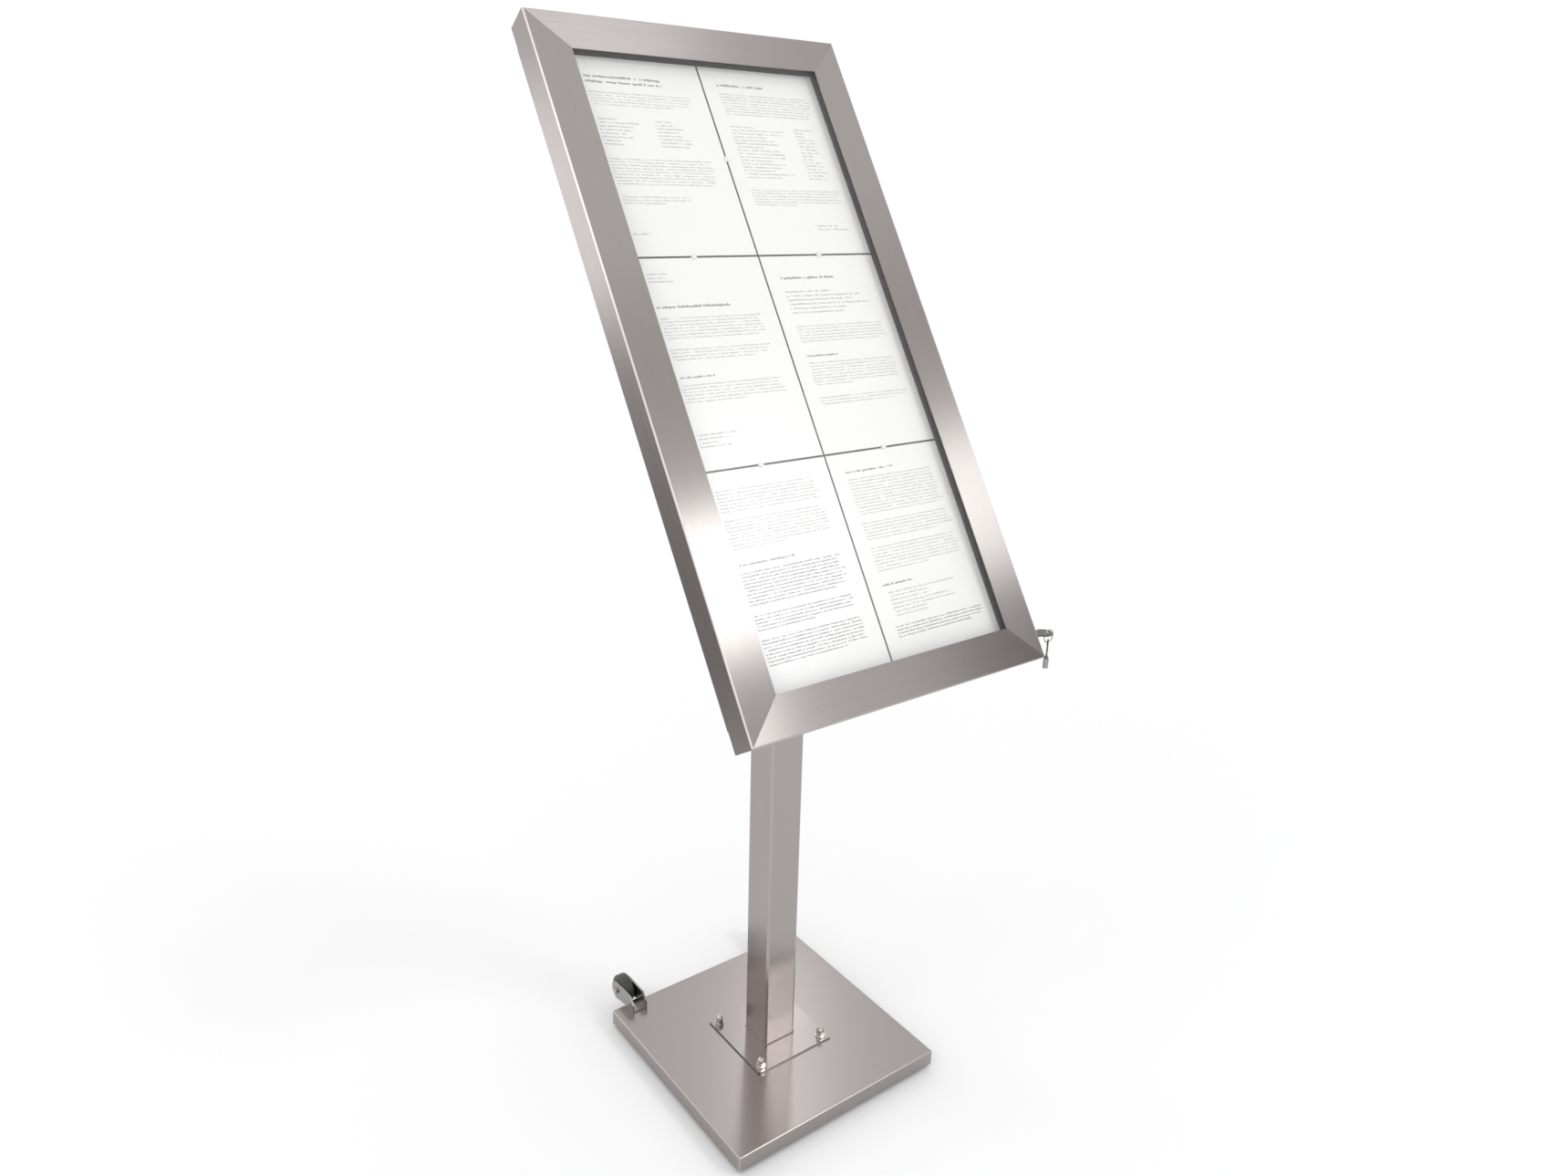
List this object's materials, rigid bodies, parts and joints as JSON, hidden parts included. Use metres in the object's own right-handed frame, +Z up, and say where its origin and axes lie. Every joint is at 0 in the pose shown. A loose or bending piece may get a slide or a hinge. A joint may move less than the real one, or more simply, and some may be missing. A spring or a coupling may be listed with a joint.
{
  "type": "information display case",
  "caption": "Glazed display case leaning back on a square post, with a lockable side-hinged door over sheets held by magnets and a weighted base that tips back onto castors.",
  "frame": {"origin": "on the floor under the middle of the base, where the post's axis meets the floor", "axes": "+Z up, +X along the width of the case towards the lock, the glazed front faces -Y"},
  "size_m": [0.5641, 0.5789, 1.6152],
  "materials": {
    "brushed_stainless": "satin",
    "bright_fasteners": "polished",
    "lock_nickel": "polished",
    "key_steel": "satin",
    "ballast_paint": "matte",
    "display_paint": "matte",
    "clear_pane": "polished",
    "seal_rubber": "matte",
    "wheel_rubber": "matte",
    "hub_plastic": "matte",
    "white_paper": "matte",
    "magnet_white": "gloss"
  },
  "bodies": {
    "stand": {"base_pan": "brushed_stainless", "ballast_plate": "ballast_paint", "base_feet": "seal_rubber", "foot_screws": "bright_fasteners", "flange_plate": "brushed_stainless", "flange_studs": "bright_fasteners", "flange_washers": "bright_fasteners", "dome_nuts": "bright_fasteners", "post_tube": "brushed_stainless", "post_foot_weld": "brushed_stainless", "post_head_weld": "brushed_stainless", "head_plate": "brushed_stainless", "head_stiffener": "bright_fasteners", "head_bolts": "bright_fasteners", "head_nuts": "bright_fasteners", "castor_screws": "bright_fasteners", "back_plate": "brushed_stainless", "display_panel": "display_paint", "display_rivets": "bright_fasteners", "paper_magnets": "magnet_white", "hinge_fixed_leaf": "brushed_stainless", "hinge_rivets": "bright_fasteners", "lock_keeper": "bright_fasteners", "keeper_rivets": "bright_fasteners", "castor_bracket_left": "brushed_stainless", "castor_bracket_right": "brushed_stainless", "axle_bolt_left": "bright_fasteners", "axle_bolt_right": "bright_fasteners", "axle_nut_left": "bright_fasteners", "axle_nut_right": "bright_fasteners", "sheet_lower_left": "white_paper", "sheet_lower_right": "white_paper", "sheet_middle_left": "white_paper", "sheet_middle_right": "white_paper", "sheet_upper_left": "white_paper", "sheet_upper_right": "white_paper"},
    "door": {"door_left_stile": "brushed_stainless", "door_right_stile": "brushed_stainless", "door_bottom_rail": "brushed_stainless", "door_top_rail": "brushed_stainless", "glazing_pane": "clear_pane", "pane_clips": "bright_fasteners", "pane_clip_nuts": "bright_fasteners", "door_seal": "seal_rubber", "hinge_door_leaf": "brushed_stainless", "hinge_pin": "bright_fasteners", "lock_barrel": "lock_nickel", "lock_nut": "bright_fasteners"},
    "lock_core": {"lock_plug": "lock_nickel", "lock_cam": "bright_fasteners", "cam_screw": "bright_fasteners"},
    "key_in_lock": {"lock_key": "key_steel"},
    "ring": {"key_ring": "lock_nickel"},
    "second_key": {"spare_key": "key_steel"},
    "left_wheel": {"wheel_tyre_left": "wheel_rubber", "wheel_hub_left": "hub_plastic"},
    "right_wheel": {"wheel_tyre_right": "wheel_rubber", "wheel_hub_right": "hub_plastic"}
  },
  "joints": [
    {"name": "door_swing", "type": "hinge", "parent": "stand", "child": "door", "pos_m": [-0.253, 0.01531, 1.17216], "axis": [0, -0.5446, -0.8387], "range_deg": [0, 120]},
    {"name": "lock_turn", "type": "hinge", "parent": "door", "child": "lock_core", "pos_m": [0.2575, -0.26474, 0.79839], "axis": [1, 0, 0], "range_deg": [0, 90]},
    {"name": "key_pull", "type": "slide", "parent": "lock_core", "child": "key_in_lock", "axis": [1, 0, 0], "range_m": [0, 0.03]},
    {"name": "ring_swing", "type": "hinge", "parent": "key_in_lock", "child": "ring", "pos_m": [0.2962, -0.26474, 0.80061], "axis": [1, 0, 0], "range_deg": [-20, 20]},
    {"name": "spare_key_swing", "type": "hinge", "parent": "ring", "child": "second_key", "pos_m": [0.2962, -0.26474, 0.78161], "axis": [1, 0, 0], "range_deg": [-20, 20]},
    {"name": "left_wheel_roll", "type": "hinge", "parent": "stand", "child": "left_wheel", "pos_m": [-0.1575, 0.2285, 0.0437], "axis": [1, 0, 0], "continuous": true},
    {"name": "right_wheel_roll", "type": "hinge", "parent": "stand", "child": "right_wheel", "pos_m": [0.1575, 0.2285, 0.0437], "axis": [1, 0, 0], "continuous": true}
  ]
}
